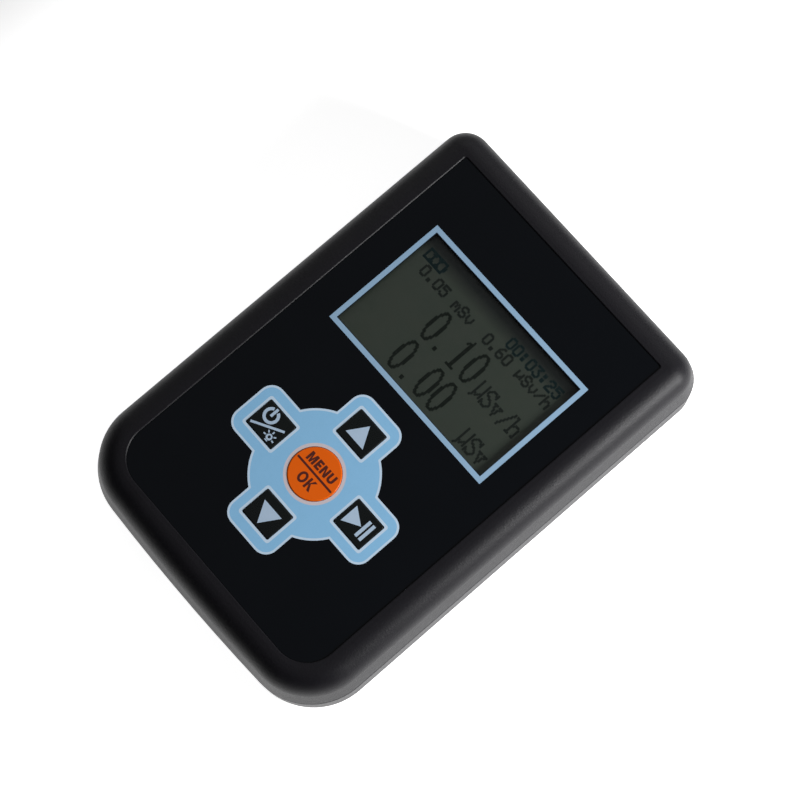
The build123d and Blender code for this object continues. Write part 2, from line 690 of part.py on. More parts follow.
def contact_spring(x, side):
    """Conical coil from a contact sheet to the flat end of a cell."""
    face = contact_face(side)
    cell_end = contact_face(-side) + side * (CONTACT_BUMP + CELL_LENGTH)
    length = abs(face - cell_end) - 2 * SPRING_WIRE - 0.1
    pitch = length / SPRING_TURNS
    angle = degrees_of(SPRING_LARGE_RADIUS - SPRING_SMALL_RADIUS, length)
    path = Helix(pitch, length, SPRING_LARGE_RADIUS, cone_angle=-angle)
    section = Plane(origin=path @ 0, z_dir=path % 0) * Circle(SPRING_WIRE)
    coil = sweep(section, path=path)
    turn = 90 if side > 0 else -90
    return Pos(x, face - side * (SPRING_WIRE + 0.05), CELL_Z) * Rot(turn, 0, 0) * coil


def battery_springs():
    """The two coils that press the cells against their contacts."""
    left, right = cell_columns()
    return group([contact_spring(left, -1), contact_spring(right, 1)])


def battery_door():
    """Flat door with three hooks at the display end and a springy latch at the other."""
    gap_y = bay_end(1) + (DOOR_LENGTH - BAY_LENGTH) / 2
    high_y = gap_y - DOOR_GAP
    low_y = gap_y - DOOR_LENGTH + DOOR_LATCH_GAP
    left = BAY_X - DOOR_WIDTH / 2 + DOOR_GAP
    right = BAY_X + DOOR_WIDTH / 2 - DOOR_GAP
    door = span(left, right, low_y, high_y, DOOR_LOW_Z, DOOR_HIGH_Z)
    door = fillet(door.edges().filter_by(Axis.Z), 0.8)
    for x, width in HOOK_WIDTHS.items():
        neck = span(x - width / 2, x + width / 2, high_y - 1.1, high_y, DOOR_HIGH_Z - 0.2, HOOK_HIGH_Z)
        hook = span(x - width / 2, x + width / 2, high_y - 0.1, gap_y + HOOK_REACH, HOOK_LOW_Z, HOOK_HIGH_Z)
        door += neck + hook
    for side in (-1, 1):
        x = BAY_X + side * (LATCH_WIDTH + LATCH_SLOT) / 2
        door -= block(x, low_y, 0, DOOR_HIGH_Z, LATCH_SLOT, 2 * LATCH_LENGTH)
    door += block(BAY_X, low_y, DOOR_LOW_Z + 0.6, DOOR_HIGH_Z - 0.4, LATCH_WIDTH - 2, 2 * LATCH_NIB)
    for index in range(GRIP_LINES):
        y = low_y + (index + 2) * GRIP_PITCH
        door -= block(BAY_X, y, 0, DOOR_LOW_Z + GRIP_DEPTH, LATCH_WIDTH - 2, GRIP_WIDTH)
    return door


# ---- write one file per node ----------------------------------------------------------------

left_column, right_column = cell_columns()

nodes = {
    "front_shell": front_shell(),
    "back_shell": back_shell(),
    "front_label": front_label(),
    "display_window": display_window(),
    "display_gasket": display_gasket(),
    "display_bezel": display_bezel(),
    "display_glass": display_glass(),
    "display_backlight": display_backlight(),
    "display_connector": display_connector(),
    "main_board": main_board(),
    "board_screws": board_screws(),
    "case_screws": case_screws(),
    "switch_housings": switch_housings(),
    "microcontroller": microcontroller(),
    "quartz_crystal": quartz_crystal(),
    "high_voltage_transformer": high_voltage_transformer(),
    "high_voltage_capacitors": high_voltage_capacitors(),
    "filter_capacitor": filter_capacitor(),
    "buzzer": buzzer(),
    "geiger_tube": geiger_tube(),
    "tube_end_caps": tube_end_caps(),
    "tube_clips": tube_clips(),
    "battery_left": cell(left_column, 1),
    "battery_right": cell(right_column, -1),
    "battery_terminals": battery_terminals(),
    "battery_bridge": battery_bridge(),
    "battery_springs": battery_springs(),
    "battery_door": battery_door(),
}
for key in all_key_places():
    nodes["key_" + key] = key_cap(key)
    nodes["switch_plunger_" + key] = switch_plunger(key)

os.makedirs("parts", exist_ok=True)
for name, shape in nodes.items():
    export_step(shape, "parts/" + name + ".step")
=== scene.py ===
"""Handheld geiger counter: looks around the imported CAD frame.  Metres, +Z out of the front panel."""
import json
import math

import bpy
from mathutils import Euler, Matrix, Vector


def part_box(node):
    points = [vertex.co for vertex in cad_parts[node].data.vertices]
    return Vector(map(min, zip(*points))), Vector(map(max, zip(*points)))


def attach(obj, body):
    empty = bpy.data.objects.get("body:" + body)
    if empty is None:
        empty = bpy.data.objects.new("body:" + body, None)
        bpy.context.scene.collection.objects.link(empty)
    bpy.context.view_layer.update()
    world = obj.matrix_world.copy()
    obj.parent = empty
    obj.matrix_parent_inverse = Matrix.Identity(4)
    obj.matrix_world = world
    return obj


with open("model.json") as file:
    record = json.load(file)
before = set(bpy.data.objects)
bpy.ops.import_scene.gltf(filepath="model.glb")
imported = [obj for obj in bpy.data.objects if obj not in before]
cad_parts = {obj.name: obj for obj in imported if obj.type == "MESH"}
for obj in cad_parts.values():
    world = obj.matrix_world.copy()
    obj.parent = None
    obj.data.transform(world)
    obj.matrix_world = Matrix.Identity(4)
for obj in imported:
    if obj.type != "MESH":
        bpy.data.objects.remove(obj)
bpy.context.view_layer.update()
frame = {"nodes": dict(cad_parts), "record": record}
MM = 0.001


# ---- places read from the frame ----------------------------------------------

def middle(node):
    """Centre of a node's box in plan."""
    low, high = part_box(node)
    return (low[0] + high[0]) / 2, (low[1] + high[1]) / 2


def top(node):
    """Highest point of a node."""
    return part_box(node)[1][2]


KEYS = ("power_light", "play_pause", "up", "down", "menu_ok")
PANEL_TOP = top("front_label")
PRINT_THICKNESS = 0.03 * MM
DOT_THICKNESS = 0.02 * MM
# How far the window reaches under the label on each side of its opening, in mm.
WINDOW_MARGIN = 1.7


# ---- node material helpers -------------------------------------------------------

class Nodes:
    """A node tree with short calls for the nodes used here."""

    def __init__(self, tree):
        self.tree = tree
        self.tree.nodes.clear()

    def node(self, kind, **settings):
        made = self.tree.nodes.new(kind)
        for key, value in settings.items():
            setattr(made, key, value)
        return made

    def link(self, source, target):
        self.tree.links.new(source, target)

    def remap(self, value, low, high, to_low, to_high):
        """A value's range moved to another range."""
        ramp = self.node("ShaderNodeMapRange")
        for index, number in enumerate((low, high, to_low, to_high)):
            ramp.inputs[index + 1].default_value = number
        self.link(value, ramp.inputs[0])
        return ramp.outputs[0]

    def math(self, operation, first, second):
        """A math node on two sockets or numbers."""
        made = self.node("ShaderNodeMath", operation=operation)
        for index, value in enumerate((first, second)):
            if isinstance(value, (int, float)):
                made.inputs[index].default_value = value
            else:
                self.link(value, made.inputs[index])
        return made.outputs[0]

    def blend(self, factor, first, second):
        """A colour between two colours or colour sockets."""
        made = self.node("ShaderNodeMix", data_type="RGBA")
        self.link(factor, made.inputs[0])
        for socket, value in ((made.inputs[6], first), (made.inputs[7], second)):
            if isinstance(value, tuple):
                socket.default_value = (*value, 1.0)
            else:
                self.link(value, socket)
        return made.outputs[2]

    def part(self, vector, axis):
        """One coordinate of a vector: 0 for X, 1 for Y and 2 for Z."""
        split = self.node("ShaderNodeSeparateXYZ")
        self.link(vector, split.inputs[0])
        return split.outputs[axis]

    def along(self, vector, direction):
        """How far a vector reaches in a direction."""
        made = self.node("ShaderNodeVectorMath", operation="DOT_PRODUCT")
        self.link(vector, made.inputs[0])
        made.inputs[1].default_value = direction
        return made.outputs["Value"]


class Graph(Nodes):
    """A new material with a Principled shader, patterned by object coordinates."""

    def __init__(self, name):
        self.material = bpy.data.materials.new(name)
        self.material.use_nodes = True
        super().__init__(self.material.node_tree)
        out = self.node("ShaderNodeOutputMaterial")
        self.shader = self.node("ShaderNodeBsdfPrincipled")
        self.link(self.shader.outputs[0], out.inputs["Surface"])
        self.place = self.node("ShaderNodeTexCoord").outputs["Object"]

    def set(self, **values):
        """Constant values on the shader's own sockets; an underscore stands for a space."""
        for key, value in values.items():
            self.shader.inputs[key.replace("_", " ")].default_value = value

    def stretched(self, scale):
        """Object coordinates scaled along each axis."""
        mapping = self.node("ShaderNodeMapping")
        mapping.inputs["Scale"].default_value = scale
        self.link(self.place, mapping.inputs["Vector"])
        return mapping.outputs[0]

    def noise(self, size_mm, detail=3.0, roughness=0.6, place=None):
        """Noise whose features are about size_mm across."""
        texture = self.node("ShaderNodeTexNoise")
        texture.inputs["Scale"].default_value = 1.0 / (size_mm * MM)
        texture.inputs["Detail"].default_value = detail
        texture.inputs["Roughness"].default_value = roughness
        self.link(place or self.place, texture.inputs["Vector"])
        return texture.outputs["Fac"]

    def cells(self, size_mm, feature="F1"):
        """Distance inside Voronoi cells about size_mm across."""
        texture = self.node("ShaderNodeTexVoronoi", feature=feature)
        texture.inputs["Scale"].default_value = 1.0 / (size_mm * MM)
        self.link(self.place, texture.inputs["Vector"])
        return texture.outputs["Distance"]

    def colour(self, socket):
        self.link(socket, self.shader.inputs["Base Color"])

    def rough(self, socket):
        self.link(socket, self.shader.inputs["Roughness"])

    def bump(self, height, depth_mm, strength=1.0):
        """Raises the surface by the height socket."""
        made = self.node("ShaderNodeBump")
        made.inputs["Strength"].default_value = strength
        made.inputs["Distance"].default_value = depth_mm * MM
        self.link(height, made.inputs["Height"])
        self.link(made.outputs[0], self.shader.inputs["Normal"])


def plastic(name, dark, light, grain_mm, depth_mm, rough_low, rough_high):
    """Moulded plastic: two close tones, a fine grain and uneven gloss."""
    g = Graph(name)
    cloud = g.noise(9.0, 4.0)
    grain = g.noise(grain_mm, 2.0, 0.7)
    g.colour(g.blend(g.math("MULTIPLY", cloud, grain), dark, light))
    g.rough(g.remap(g.math("ADD", cloud, grain), 0.6, 1.4, rough_low, rough_high))
    g.bump(grain, depth_mm)
    return g


def metal(name, dark, light, grain, rough_low, rough_high):
    """Bare metal with lines drawn along one axis; grain gives the line's size along X, Y and Z."""
    g = Graph(name)
    g.set(Metallic=1.0)
    lines = g.noise(1.0, 4.0, 0.7, g.stretched(tuple(1.0 / size for size in grain)))
    smudge = g.noise(3.0, 3.0)
    g.colour(g.blend(smudge, dark, light))
    g.rough(g.remap(lines, 0.3, 0.7, rough_low, rough_high))
    g.bump(lines, 0.01)
    return g


# ---- materials ------------------------------------------------------------------------

def case_plastic():
    """Black case plastic with a fine spark texture."""
    g = Graph("case_plastic")
    cloud = g.noise(14.0, 3.0)
    spark = g.noise(0.30, 3.0, 0.75)
    pits = g.cells(0.42, "SMOOTH_F1")
    height = g.math("ADD", spark, g.math("MULTIPLY", pits, 0.5))
    tone = g.math("MULTIPLY", spark, g.remap(cloud, 0.3, 0.7, 0.8, 1.2))
    g.colour(g.blend(tone, (0.0045, 0.0042, 0.0058), (0.0125, 0.0118, 0.0155)))
    g.rough(g.remap(height, 0.4, 1.1, 0.49, 0.37))
    g.bump(height, 0.05, 0.85)
    g.set(Specular_IOR_Level=0.22)
    return g


def label_print():
    """Back-printed black sheet: smooth satin, near black."""
    g = Graph("label_print")
    cloud = g.noise(18.0, 3.0)
    tooth = g.noise(0.16, 2.0)
    g.colour(g.blend(cloud, (0.0006, 0.0014, 0.0028), (0.0016, 0.0026, 0.0046)))
    g.rough(g.remap(tooth, 0.3, 0.7, 0.20, 0.27))
    g.bump(tooth, 0.002)
    g.set(Specular_IOR_Level=0.23)
    return g


def ink(name, dark, light, rough_low=0.26, rough_high=0.34):
    """Screen-printed ink: a flat colour with faint mottling and a fine tooth."""
    g = Graph(name)
    mottle = g.noise(2.4, 4.0)
    tooth = g.noise(0.14, 2.0)
    g.colour(g.blend(mottle, dark, light))
    g.rough(g.remap(tooth, 0.3, 0.7, rough_low, rough_high))
    g.bump(tooth, 0.004)
    return g


def liquid_crystal():
    """Reflective display face: grey-green with soft blotches, a matt film and painted shade that darkens
    it towards the top edge.
    """
    g = Graph("display_glass")
    blotch = g.noise(11.0, 2.0)
    tint = g.noise(4.0, 3.0)
    film = g.noise(0.08, 1.0)
    green = g.blend(blotch, (0.042, 0.056, 0.040), (0.047, 0.060, 0.048))
    lit = g.blend(g.remap(tint, 0.4, 0.8, 0.0, 0.5), green, (0.056, 0.064, 0.050))
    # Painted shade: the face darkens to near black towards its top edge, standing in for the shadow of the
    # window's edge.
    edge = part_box("display_window")[1][1] - WINDOW_MARGIN * MM
    painted_top_shadow = g.remap(g.part(g.place, 1), edge - 5.4 * MM, edge - 1.8 * MM, 0.0, 1.0)
    g.colour(g.blend(painted_top_shadow, lit, (0.002, 0.004, 0.004)))
    g.rough(g.remap(film, 0.3, 0.7, 0.34, 0.44))
    g.bump(film, 0.002)
    return g


def clear_pane():
    """Clear pane: mostly see-through, with faint smears in its gloss."""
    g = Graph("clear_window")
    smear = g.noise(7.0, 4.0)
    g.colour(g.blend(smear, (0.010, 0.013, 0.013), (0.020, 0.024, 0.024)))
    g.rough(g.remap(smear, 0.3, 0.7, 0.05, 0.12))
    g.set(Alpha=0.10, IOR=1.49)
    return g


def circuit_board():
    """Green solder mask over copper tracks that run along X in some zones and along Y in others."""
    g = Graph("circuit_board")

    def tracks(turn):
        """Parallel tracks with short links between them, at 1.3 mm pitch."""
        mapping = g.node("ShaderNodeMapping")
        mapping.inputs["Rotation"].default_value = (0.0, 0.0, math.radians(turn))
        g.link(g.place, mapping.inputs["Vector"])
        lines = g.node("ShaderNodeTexBrick", offset=0.37, squash=0.6, squash_frequency=3)
        settings = (("Scale", 1 / (1.3 * MM)), ("Mortar Size", 0.11), ("Mortar Smooth", 0.0))
        for name, value in settings + (("Brick Width", 8.0), ("Row Height", 1.0)):
            lines.inputs[name].default_value = value
        g.link(mapping.outputs[0], lines.inputs["Vector"])
        return lines.outputs["Fac"]

    zone = g.remap(g.noise(13.0, 1.0), 0.49, 0.50, 0.0, 1.0)
    other_zone = g.math("SUBTRACT", 1.0, zone)
    track = g.math("ADD", g.math("MULTIPLY", tracks(0), zone), g.math("MULTIPLY", tracks(90), other_zone))
    vias = g.remap(g.cells(3.4), 0.10, 0.13, 1.0, 0.0)
    mask = g.blend(track, (0.008, 0.062, 0.025), (0.024, 0.150, 0.060))
    g.colour(g.blend(vias, mask, (0.55, 0.50, 0.36)))
    g.rough(g.remap(g.noise(0.4), 0.3, 0.7, 0.28, 0.40))
    g.bump(track, 0.03)
    return g


def cell_sleeve():
    """Battery: shrink sleeve with one plain band, and bare metal past both of its ends."""
    g = Graph("cell_sleeve")
    along = g.part(g.place, 1)
    y_middle = middle("battery_left")[1]
    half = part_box("battery_left")[1][1] - y_middle
    away = g.math("ABSOLUTE", g.math("SUBTRACT", along, y_middle), 0.0)
    bare = g.remap(away, half - 2.6 * MM, half - 2.5 * MM, 0.0, 1.0)
    band = g.remap(along, y_middle + 8.0 * MM, y_middle + 8.1 * MM, 0.0, 1.0)
    scuff = g.noise(1.2, 4.0)
    sleeve = g.blend(band, (0.012, 0.013, 0.016), (0.60, 0.33, 0.05))
    worn = g.blend(g.remap(scuff, 0.62, 0.75, 0.0, 0.35), sleeve, (0.25, 0.25, 0.25))
    g.colour(g.blend(bare, worn, (0.66, 0.66, 0.64)))
    g.link(bare, g.shader.inputs["Metallic"])
    g.rough(g.remap(scuff, 0.3, 0.7, 0.22, 0.36))
    g.bump(scuff, 0.01)
    return g


def chip_package():
    """Black epoxy body with tinned leads, told apart by height."""
    g = Graph("chip_package")
    lead_z = top("microcontroller") - 0.42 * MM
    lead = g.remap(g.part(g.place, 2), lead_z, lead_z + 0.02 * MM, 0.0, 1.0)
    grain = g.noise(0.25, 3.0)
    epoxy = g.blend(grain, (0.010, 0.010, 0.011), (0.028, 0.028, 0.030))
    g.colour(g.blend(lead, epoxy, (0.62, 0.62, 0.60)))
    g.link(lead, g.shader.inputs["Metallic"])
    g.rough(g.remap(grain, 0.3, 0.7, 0.40, 0.60))
    g.bump(grain, 0.01)
    return g


STEEL_DARK = (0.42, 0.42, 0.43)
STEEL_LIGHT = (0.64, 0.64, 0.64)

# Dark and light tone, grain size and depth in mm, lowest and highest roughness.
PLASTICS = {
    "black_foam": ((0.006, 0.006, 0.006), (0.030, 0.030, 0.031), 0.35, 0.08, 0.85, 1.0),
    "contact_rubber": ((0.02, 0.02, 0.022), (0.06, 0.06, 0.07), 0.2, 0.01, 0.7, 0.9),
    "light_guide": ((0.60, 0.63, 0.61), (0.80, 0.83, 0.81), 0.3, 0.004, 0.15, 0.30),
    "switch_body": ((0.010, 0.010, 0.010), (0.040, 0.040, 0.042), 0.2, 0.01, 0.45, 0.65),
    "switch_plunger": ((0.02, 0.02, 0.02), (0.07, 0.07, 0.07), 0.2, 0.01, 0.4, 0.6),
    "ferrite": ((0.025, 0.025, 0.028), (0.085, 0.085, 0.090), 0.3, 0.03, 0.6, 0.85),
    "film_capacitor": ((0.30, 0.06, 0.02), (0.52, 0.13, 0.05), 0.8, 0.02, 0.18, 0.32),
    "buzzer_case": ((0.008, 0.008, 0.008), (0.030, 0.030, 0.032), 0.3, 0.02, 0.35, 0.55),
    "key_black": ((0.0028, 0.0046, 0.0048), (0.0070, 0.0090, 0.0092), 0.18, 0.004, 0.24, 0.32),
    "menu_key_orange": ((0.88, 0.128, 0.0004), (0.96, 0.155, 0.0008), 0.18, 0.004, 0.28, 0.36),
}

# Dark and light tone, the lines' size in mm along X, Y and Z, lowest and highest roughness.
METALS = {
    "sheet_steel": (STEEL_DARK, STEEL_LIGHT, (3.0, 0.2, 0.2), 0.25, 0.42),
    "screw_steel": (STEEL_DARK, STEEL_LIGHT, (0.3, 0.3, 0.3), 0.28, 0.45),
    "black_screw_steel": ((0.03, 0.03, 0.032), (0.10, 0.10, 0.105), (0.3, 0.3, 0.3), 0.35, 0.5),
    "crystal_can": ((0.55, 0.55, 0.55), (0.75, 0.75, 0.74), (1.5, 0.2, 0.2), 0.22, 0.35),
    "capacitor_can": ((0.50, 0.51, 0.53), (0.72, 0.73, 0.75), (0.2, 0.2, 1.5), 0.25, 0.4),
    "tube_metal": ((0.38, 0.38, 0.36), (0.60, 0.60, 0.58), (0.2, 5.0, 0.2), 0.22, 0.38),
    "brass_caps": ((0.52, 0.36, 0.12), (0.76, 0.58, 0.26), (0.2, 0.2, 0.2), 0.22, 0.36),
    "contact_metal": ((0.52, 0.52, 0.50), (0.72, 0.72, 0.69), (0.3, 0.3, 2.0), 0.22, 0.35),
    "spring_wire": ((0.50, 0.50, 0.48), (0.72, 0.72, 0.69), (0.2, 0.2, 0.2), 0.22, 0.35),
}
MATERIALS = {
    "case_plastic": case_plastic(),
    "label_print": label_print(),
    "display_glass": liquid_crystal(),
    "clear_window": clear_pane(),
    "circuit_board": circuit_board(),
    "cell_sleeve": cell_sleeve(),
    "chip_package": chip_package(),
}
MATERIALS.update({name: plastic(name, *row) for name, row in PLASTICS.items()})
MATERIALS.update({name: metal(name, *row) for name, row in METALS.items()})

# Dark and light tone, and the lowest and highest roughness of the matt inks.
BLUE_INK = ink("blue_ink", (0.268, 0.560, 0.850), (0.296, 0.600, 0.905))
PALE_INK = ink("pale_ink", (0.58, 0.75, 0.93), (0.63, 0.80, 0.98))
FRAME_INK = ink("frame_ink", (0.295, 0.470, 0.660), (0.330, 0.510, 0.705))
NAVY_INK = ink("navy_ink", (0.004, 0.010, 0.022), (0.007, 0.015, 0.030))
SIGN_INK = ink("sign_ink", (0.44, 0.58, 0.74), (0.50, 0.64, 0.82))
LETTER_INK = ink("letter_ink", (0.070, 0.006, 0.001), (0.095, 0.009, 0.002), 0.45, 0.55)
RING_INK = ink("ring_ink", (0.665, 0.600, 0.640), (0.705, 0.630, 0.680))
FIGURE_INK = ink("figure_ink", (0.0046, 0.0078, 0.0048), (0.0060, 0.0096, 0.0064), 0.4, 0.5)
PIXEL_INK = ink("pixel_ink", (0.0098, 0.0136, 0.0112), (0.0116, 0.0156, 0.0130), 0.4, 0.5)
BLUE_PIXEL_INK = ink("blue_pixel_ink", (0.0022, 0.0125, 0.0140), (0.0032, 0.0145, 0.0160), 0.4, 0.5)
for name, level in (("key_black", 0.28), ("menu_key_orange", 0.30)):
    MATERIALS[name].set(Specular_IOR_Level=level)
for dot_ink in (FIGURE_INK, PIXEL_INK, BLUE_PIXEL_INK):
    dot_ink.set(Specular_IOR_Level=0.15)

# The CAD nodes take the material of their slot.
for row in frame["record"]["subparts"]:
    node = frame["nodes"][row["node"]]
    node.data.materials.clear()
    node.data.materials.append(MATERIALS[row["material_slot"]].material)


# ---- thin printed pieces --------------------------------------------------------------------

def arc(x, y, radius, start, stop, steps=12):
    """Points along a circle's arc, in degrees."""
    points = []
    for index in range(steps + 1):
        angle = math.radians(start + (stop - start) * index / steps)
        points.append((x + radius * math.cos(angle), y + radius * math.sin(angle)))
    return points


def circle(x, y, radius):
    """A full circle as an outline."""
    return arc(x, y, radius, 0, 360 * 63 / 64, 63)


def rounded(x, y, width, height, radius):
    """A rectangle with round corners."""
    points = []
    for sign_x, sign_y, start in ((1, 1, 0), (-1, 1, 90), (-1, -1, 180), (1, -1, 270)):
        centre_x = x + sign_x * (width / 2 - radius)
        centre_y = y + sign_y * (height / 2 - radius)
        points += arc(centre_x, centre_y, radius, start, start + 90, 8)
    return points


def bar(x_0, y_0, x_1, y_1, width):
    """A straight stroke between two points."""
    along = Vector((x_1 - x_0, y_1 - y_0)).normalized() * width / 2
    side = Vector((-along.y, along.x))
    return [
        (x_0 + side.x, y_0 + side.y),
        (x_0 - side.x, y_0 - side.y),
        (x_1 - side.x, y_1 - side.y),
        (x_1 + side.x, y_1 + side.y),
    ]


def placed(name, mesh, ink_graph, body):
    """A piece from a mesh, with its ink, on its body."""
    mesh.name = name
    mesh.materials.clear()
    mesh.materials.append(ink_graph.material)
    piece = bpy.data.objects.new(name, mesh)
    bpy.context.scene.collection.objects.link(piece)
    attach(piece, body)


def printed(name, loops, z, ink_graph, body):
    """A thin closed plate from outlines in metres; an outline inside another is a hole."""
    outline = bpy.data.curves.new(name, "CURVE")
    outline.dimensions = "2D"
    outline.fill_mode = "BOTH"
    outline.extrude = PRINT_THICKNESS / 2
    for loop in loops:
        spline = outline.splines.new("POLY")
        spline.points.add(len(loop) - 1)
        for point, (x, y) in zip(spline.points, loop):
            point.co = (x, y, 0, 1)
        spline.use_cyclic_u = True
    drawn = bpy.data.objects.new(name + "_outline", outline)
    bpy.context.scene.collection.objects.link(drawn)
    evaluated = drawn.evaluated_get(bpy.context.evaluated_depsgraph_get())
    mesh = bpy.data.meshes.new_from_object(evaluated)
    bpy.data.objects.remove(drawn)
    for vertex in mesh.vertices:
        vertex.co.z += z + PRINT_THICKNESS / 2
    placed(name, mesh, ink_graph, body)


def scaled(loops):
    """Outlines written in millimetres, in metres."""
    return [[(x * MM, y * MM) for x, y in loop] for loop in loops]


# ---- keypad field on the label -----------------------------------------------------------------

def box_mm(node):
    """A node's box in plan, in millimetres: centre and size."""
    low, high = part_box(node)
    centre_x, centre_y = middle(node)
    return centre_x / MM, centre_y / MM, (high[0] - low[0]) / MM, (high[1] - low[1]) / MM


# Sizes in mm.  A key's flange stays below the front, and the label leaves a small gap round its top.
FLANGE = 0.9
KEY_GAP = 0.1
KEYPAD_X, KEYPAD_Y, MENU_FLANGE, _ = box_mm("key_menu_ok")
KEY_WIDTH = box_mm("key_up")[2] - 2 * FLANGE
KEY_HEIGHT = box_mm("key_up")[3] - 2 * FLANGE
KEY_CORNER = 0.35
MENU_RADIUS = MENU_FLANGE / 2 - FLANGE
FIELD_RADIUS = 14.85
LOBE_X = 22.4
LOBE_Y = 20.8
LOBE_HALF_HEIGHT = 7.05
LOBE_HALF_WIDTH = 7.4
LOBE_CORNER = 3.3
OUTLINE_WIDTH = 0.5
KEY_BORDER = 0.62
MENU_RING = 0.80


def field_outline(inset):
    """Round field with four square lobes, drawn inwards by the inset."""
    radius = FIELD_RADIUS - inset
    corner = LOBE_CORNER - inset
    points = []
    for quarter in range(4):
        flat = quarter % 2 == 0
        reach = (LOBE_X if flat else LOBE_Y) - inset
        half = (LOBE_HALF_HEIGHT if flat else LOBE_HALF_WIDTH) - inset
        next_half = (LOBE_HALF_WIDTH if flat else LOBE_HALF_HEIGHT) - inset
        lobe = arc(reach - corner, -half + corner, corner, -90, 0, 8)
        lobe += arc(reach - corner, half - corner, corner, 0, 90, 8)
        start = math.degrees(math.asin(half / radius))
        stop = 90 - math.degrees(math.asin(next_half / radius))
        lobe += arc(0, 0, radius, start, stop, 12)
        angle = math.radians(90 * quarter)
        for x, y in lobe:
            turned_x = x * math.cos(angle) - y * math.sin(angle)
            turned_y = x * math.sin(angle) + y * math.cos(angle)
            points.append((KEYPAD_X + turned_x, KEYPAD_Y + turned_y))
    return points


def key_window(key, margin):
    """The opening round a key in the label, grown by a margin."""
    x, y, _, _ = box_mm("key_" + key)
    if key == "menu_ok":
        return circle(x, y, MENU_RADIUS + KEY_GAP + margin)
    width = KEY_WIDTH + 2 * (KEY_GAP + margin)
    height = KEY_HEIGHT + 2 * (KEY_GAP + margin)
    return rounded(x, y, width, height, KEY_CORNER + margin / 2)


def keypad_print():
    """Blue field, its pale outline and the pale borders round the keys."""
    borders = {key: (MENU_RING if key == "menu_ok" else KEY_BORDER) for key in KEYS}
    holes = [key_window(key, width) for key, width in borders.items()]
    field = [field_outline(OUTLINE_WIDTH)] + holes
    printed("label_keypad_field", scaled(field), PANEL_TOP, BLUE_INK, "case")
    edge = [field_outline(0), field_outline(OUTLINE_WIDTH)]
    printed("label_keypad_outline", scaled(edge), PANEL_TOP, PALE_INK, "case")
    for name, ring_ink, keys in (
        ("label_key_borders", PALE_INK, KEYS[:4]),
        ("label_menu_ring", RING_INK, KEYS[4:]),
    ):
        rings = [key_window(key, margin) for key in keys for margin in (0, borders[key])]
        printed(name, scaled(rings), PANEL_TOP, ring_ink, "case")


def display_print():
    """Light blue frame round the display, with a thin dark line inside it."""
    x, y, width, height = box_mm("display_window")
    view_width = width - 2 * WINDOW_MARGIN
    view_height = height - 2 * WINDOW_MARGIN
    line = 0.16
    band = 1.36
    corner = 0.12

    def border(inner, outer):
        loops = []
        for grow in (inner, outer):
            loops.append(rounded(x, y, view_width + 2 * grow, view_height + 2 * grow, corner))
        return scaled(loops)

    printed("label_display_line", border(0.0, line), PANEL_TOP, NAVY_INK, "case")
    printed("label_display_frame", border(line, band), PANEL_TOP, FRAME_INK, "case")


keypad_print()
display_print()


# ---- signs on the keys ---------------------------------------------------------------------------

def key_sign(key, name, loops, sign_ink=SIGN_INK):
    """Printed sign on a key; outlines are in millimetres from the key's centre."""
    x, y, _, _ = box_mm("key_" + key)
    moved = [[(x + a, y + b) for a, b in loop] for loop in loops]
    printed(name, scaled(moved), top("key_" + key), sign_ink, key + "_key")


ARROW_HEIGHT = 4.7
ARROW_HALF_WIDTH = 2.88


def arrow(centre_y, tip):
    """A triangle whose tip points up (tip = 1) or down (tip = -1)."""
    base = centre_y - tip * ARROW_HEIGHT / 2
    return [(-ARROW_HALF_WIDTH, base), (ARROW_HALF_WIDTH, base), (0, base + tip * ARROW_HEIGHT)]


def power_ring(x, y, radius, stroke, gap):
    """An open ring with its opening at the top."""
    outer = arc(x, y, radius, 90 + gap, 450 - gap, 40)
    inner = arc(x, y, radius - stroke, 450 - gap, 90 + gap, 40)
    return outer + inner


def lamp(x, y):
    """A small lamp: round glass, base and five rays."""
    glass = [circle(x, y, 0.78), circle(x, y + 0.05, 0.36)]
    base = [bar(x - 0.42, y - 0.98, x + 0.42, y - 0.98, 0.26)]
    rays = []
    for angle in (-8, 40, 90, 140, 188):
        ray = Vector((math.cos(math.radians(angle)), math.sin(math.radians(angle))))
        tip = ray * 1.62
        rays.append(bar(x + ray.x, y + ray.y, x + tip.x, y + tip.y, 0.34))
    return glass + base + rays


play = [(-3.30, 2.45), (-3.30, -2.42), (0.78, 0.02)]
pause = [bar(x, 2.33, x, -2.28, 0.80) for x in (1.46, 2.72)]
power = [power_ring(-1.42, 1.30, 1.98, 0.72, 24), bar(-1.42, 3.38, -1.42, 1.10, 0.66)]
slash = bar(-3.66, -2.92, 3.42, 1.08, 0.56)
key_sign("up", "sign_up", [arrow(0.25, 1)])
key_sign("down", "sign_down", [arrow(-0.70, -1)])
key_sign("play_pause", "sign_play_pause", [play] + pause)
key_sign("power_light", "sign_power_light", power + [slash] + lamp(1.93, -2.20))


CAP_STROKE = 0.56
LETTER_GAP = 0.34


def oval(width, height, inset):
    """An upright oval in a letter's box, drawn inwards by the inset."""
    half_x = width / 2 - inset
    half_y = height / 2 - inset
    turns = [2 * math.pi * index / 40 for index in range(40)]
    return [(width / 2 + half_x * math.cos(t), height / 2 + half_y * math.sin(t)) for t in turns]


